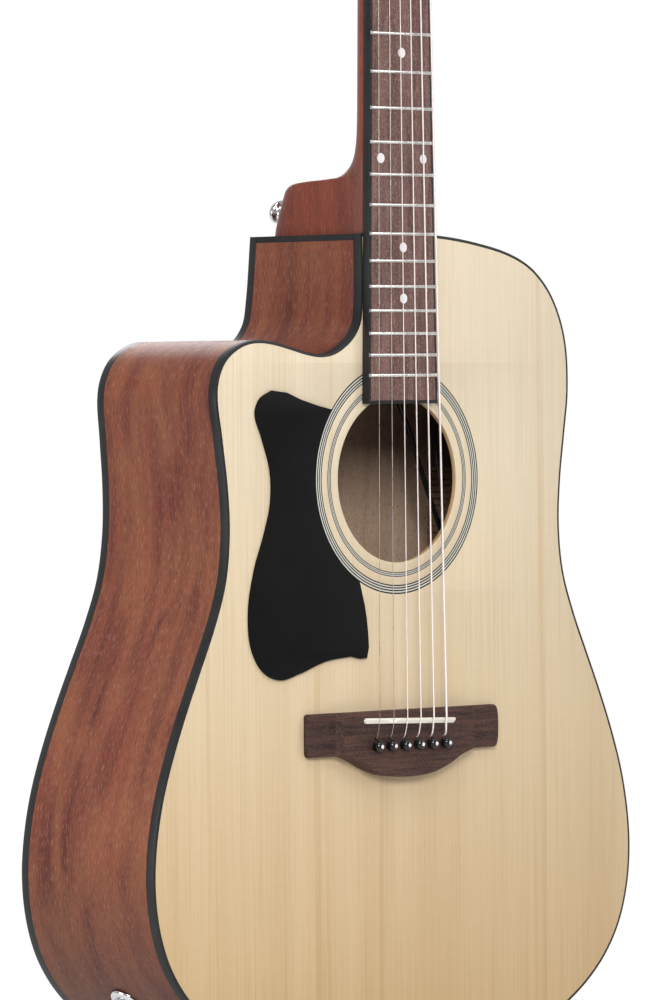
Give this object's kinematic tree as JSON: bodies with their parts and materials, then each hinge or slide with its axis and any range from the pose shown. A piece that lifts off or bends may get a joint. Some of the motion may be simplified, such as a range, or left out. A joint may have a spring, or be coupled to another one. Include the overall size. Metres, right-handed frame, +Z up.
{
  "type": "acoustic guitar",
  "caption": "Left-handed cutaway acoustic guitar with soundboard, rosette, pickguard, pin bridge, fretted neck, geared tuners, strings and a built-in preamp.",
  "frame": {"origin": "centre of the flat outer face of the strap button on the tail end", "axes": "+Z up the neck towards the head, -Y out of the soundboard towards the viewer, +X to the viewer's right, the side of the thick strings"},
  "size_m": [0.3964, 0.1306, 1.0517],
  "materials": {
    "spruce_top": "satin lacquer",
    "mahogany": "open-pore satin",
    "spruce_inner": "bare wood",
    "black_binding": "satin",
    "rosette": "fine black, white and grey rings",
    "pickguard": "satin",
    "rosewood": "open-pore satin",
    "bone": "satin",
    "pickup": "wrapped strip",
    "steel": "plain",
    "chrome": "polished",
    "control_black": "satin",
    "button_grey": "satin",
    "lead_rubber": "matt",
    "string_metal": "plain and wound wire"
  },
  "bodies": {
    "guitar": {"back_bracing": "spruce_inner", "back_plate": "mahogany", "binding_back": "black_binding", "binding_cutaway_end": "black_binding", "binding_front": "black_binding", "bridge": "rosewood", "bridge_plate": "rosewood", "fretboard": "rosewood", "fretboard_binding": "black_binding", "jack_lead": "lead_rubber", "lining_back": "spruce_inner", "lining_front": "spruce_inner", "neck": "mahogany", "neck_block": "spruce_inner", "nut": "bone", "output_jack": "chrome", "pickguard": "pickguard", "preamp_case": "control_black", "rosette_inner": "rosette", "rosette_outer": "rosette", "saddle": "bone", "saddle_pickup": "pickup", "side_bass": "mahogany", "side_treble": "mahogany", "soundboard": "spruce_top", "strap_button_end": "chrome", "strap_button_heel": "chrome", "string_1": "string_metal", "string_2": "string_metal", "string_3": "string_metal", "string_4": "string_metal", "string_5": "string_metal", "string_6": "string_metal", "tail_block": "spruce_inner", "truss_rod": "steel", "truss_rod_cover": "black_binding", "tuner_housing_1": "chrome", "tuner_housing_2": "chrome", "tuner_housing_3": "chrome", "tuner_housing_4": "chrome", "tuner_housing_5": "chrome", "tuner_housing_6": "chrome", "upper_brace": "spruce_inner", "x_brace": "spruce_inner"},
    "tuner_post_body_1": {"tuner_post_1": "chrome"},
    "tuner_knob_body_1": {"tuner_knob_1": "chrome"},
    "tuner_post_body_2": {"tuner_post_2": "chrome"},
    "tuner_knob_body_2": {"tuner_knob_2": "chrome"},
    "tuner_post_body_3": {"tuner_post_3": "chrome"},
    "tuner_knob_body_3": {"tuner_knob_3": "chrome"},
    "tuner_post_body_4": {"tuner_post_4": "chrome"},
    "tuner_knob_body_4": {"tuner_knob_4": "chrome"},
    "tuner_post_body_5": {"tuner_post_5": "chrome"},
    "tuner_knob_body_5": {"tuner_knob_5": "chrome"},
    "tuner_post_body_6": {"tuner_post_6": "chrome"},
    "tuner_knob_body_6": {"tuner_knob_6": "chrome"},
    "preamp_volume_knob_body": {"preamp_volume_knob": "control_black"},
    "preamp_tone_knob_body": {"preamp_tone_knob": "control_black"},
    "tuner_push_button_body": {"tuner_push_button": "button_grey"},
    "battery_tray_body": {"battery_tray": "control_black"}
  },
  "joints": [
    {"name": "tuner_knob_1_turn", "type": "hinge", "parent": "guitar", "child": "tuner_knob_body_1", "pos_m": [-0.0215, -0.02764, 0.90509], "axis": [-1, 0, 0], "continuous": true},
    {"name": "tuner_post_1_turn", "type": "hinge", "parent": "guitar", "child": "tuner_post_body_1", "pos_m": [-0.0215, -0.04584, 0.91684], "axis": [0, -0.9703, 0.2419], "continuous": true},
    {"name": "tuner_knob_2_turn", "type": "hinge", "parent": "guitar", "child": "tuner_knob_body_2", "pos_m": [-0.0215, -0.01796, 0.9439], "axis": [-1, 0, 0], "continuous": true},
    {"name": "tuner_post_2_turn", "type": "hinge", "parent": "guitar", "child": "tuner_post_body_2", "pos_m": [-0.0215, -0.03616, 0.95565], "axis": [0, -0.9703, 0.2419], "continuous": true},
    {"name": "tuner_knob_3_turn", "type": "hinge", "parent": "guitar", "child": "tuner_knob_body_3", "pos_m": [-0.0215, -0.00829, 0.98271], "axis": [-1, 0, 0], "continuous": true},
    {"name": "tuner_post_3_turn", "type": "hinge", "parent": "guitar", "child": "tuner_post_body_3", "pos_m": [-0.0215, -0.02649, 0.99446], "axis": [0, -0.9703, 0.2419], "continuous": true},
    {"name": "tuner_knob_4_turn", "type": "hinge", "parent": "guitar", "child": "tuner_knob_body_4", "pos_m": [0.0215, -0.00829, 0.98271], "axis": [1, 0, 0], "continuous": true},
    {"name": "tuner_post_4_turn", "type": "hinge", "parent": "guitar", "child": "tuner_post_body_4", "pos_m": [0.0215, -0.02649, 0.99446], "axis": [0, -0.9703, 0.2419], "continuous": true},
    {"name": "tuner_knob_5_turn", "type": "hinge", "parent": "guitar", "child": "tuner_knob_body_5", "pos_m": [0.0215, -0.01796, 0.9439], "axis": [1, 0, 0], "continuous": true},
    {"name": "tuner_post_5_turn", "type": "hinge", "parent": "guitar", "child": "tuner_post_body_5", "pos_m": [0.0215, -0.03616, 0.95565], "axis": [0, -0.9703, 0.2419], "continuous": true},
    {"name": "tuner_knob_6_turn", "type": "hinge", "parent": "guitar", "child": "tuner_knob_body_6", "pos_m": [0.0215, -0.02764, 0.90509], "axis": [1, 0, 0], "continuous": true},
    {"name": "tuner_post_6_turn", "type": "hinge", "parent": "guitar", "child": "tuner_post_body_6", "pos_m": [0.0215, -0.04584, 0.91684], "axis": [0, -0.9703, 0.2419], "continuous": true},
    {"name": "preamp_volume_knob_turn", "type": "hinge", "parent": "guitar", "child": "preamp_volume_knob_body", "pos_m": [0.14874, -0.015, 0.43919], "axis": [0.9979, 0, -0.0645], "range_deg": [-140, 140]},
    {"name": "preamp_tone_knob_turn", "type": "hinge", "parent": "guitar", "child": "preamp_tone_knob_body", "pos_m": [0.14874, 0.003, 0.43919], "axis": [0.9979, 0, -0.0645], "range_deg": [-140, 140]},
    {"name": "tuner_push_button_press", "type": "slide", "parent": "guitar", "child": "tuner_push_button_body", "axis": [-0.9979, 0, 0.0645], "range_m": [0, 0.0015], "stiffness_N_per_m": 400, "springref_m": -0.0005},
    {"name": "battery_tray_slide", "type": "slide", "parent": "guitar", "child": "battery_tray_body", "axis": [0.9979, 0, -0.0645], "range_m": [0, 0.034]}
  ],
  "couplings": [
    {"joint": "tuner_post_1_turn", "follows": "tuner_knob_1_turn", "ratio": -0.055556},
    {"joint": "tuner_post_2_turn", "follows": "tuner_knob_2_turn", "ratio": -0.055556},
    {"joint": "tuner_post_3_turn", "follows": "tuner_knob_3_turn", "ratio": -0.055556},
    {"joint": "tuner_post_4_turn", "follows": "tuner_knob_4_turn", "ratio": 0.055556},
    {"joint": "tuner_post_5_turn", "follows": "tuner_knob_5_turn", "ratio": 0.055556},
    {"joint": "tuner_post_6_turn", "follows": "tuner_knob_6_turn", "ratio": 0.055556}
  ]
}
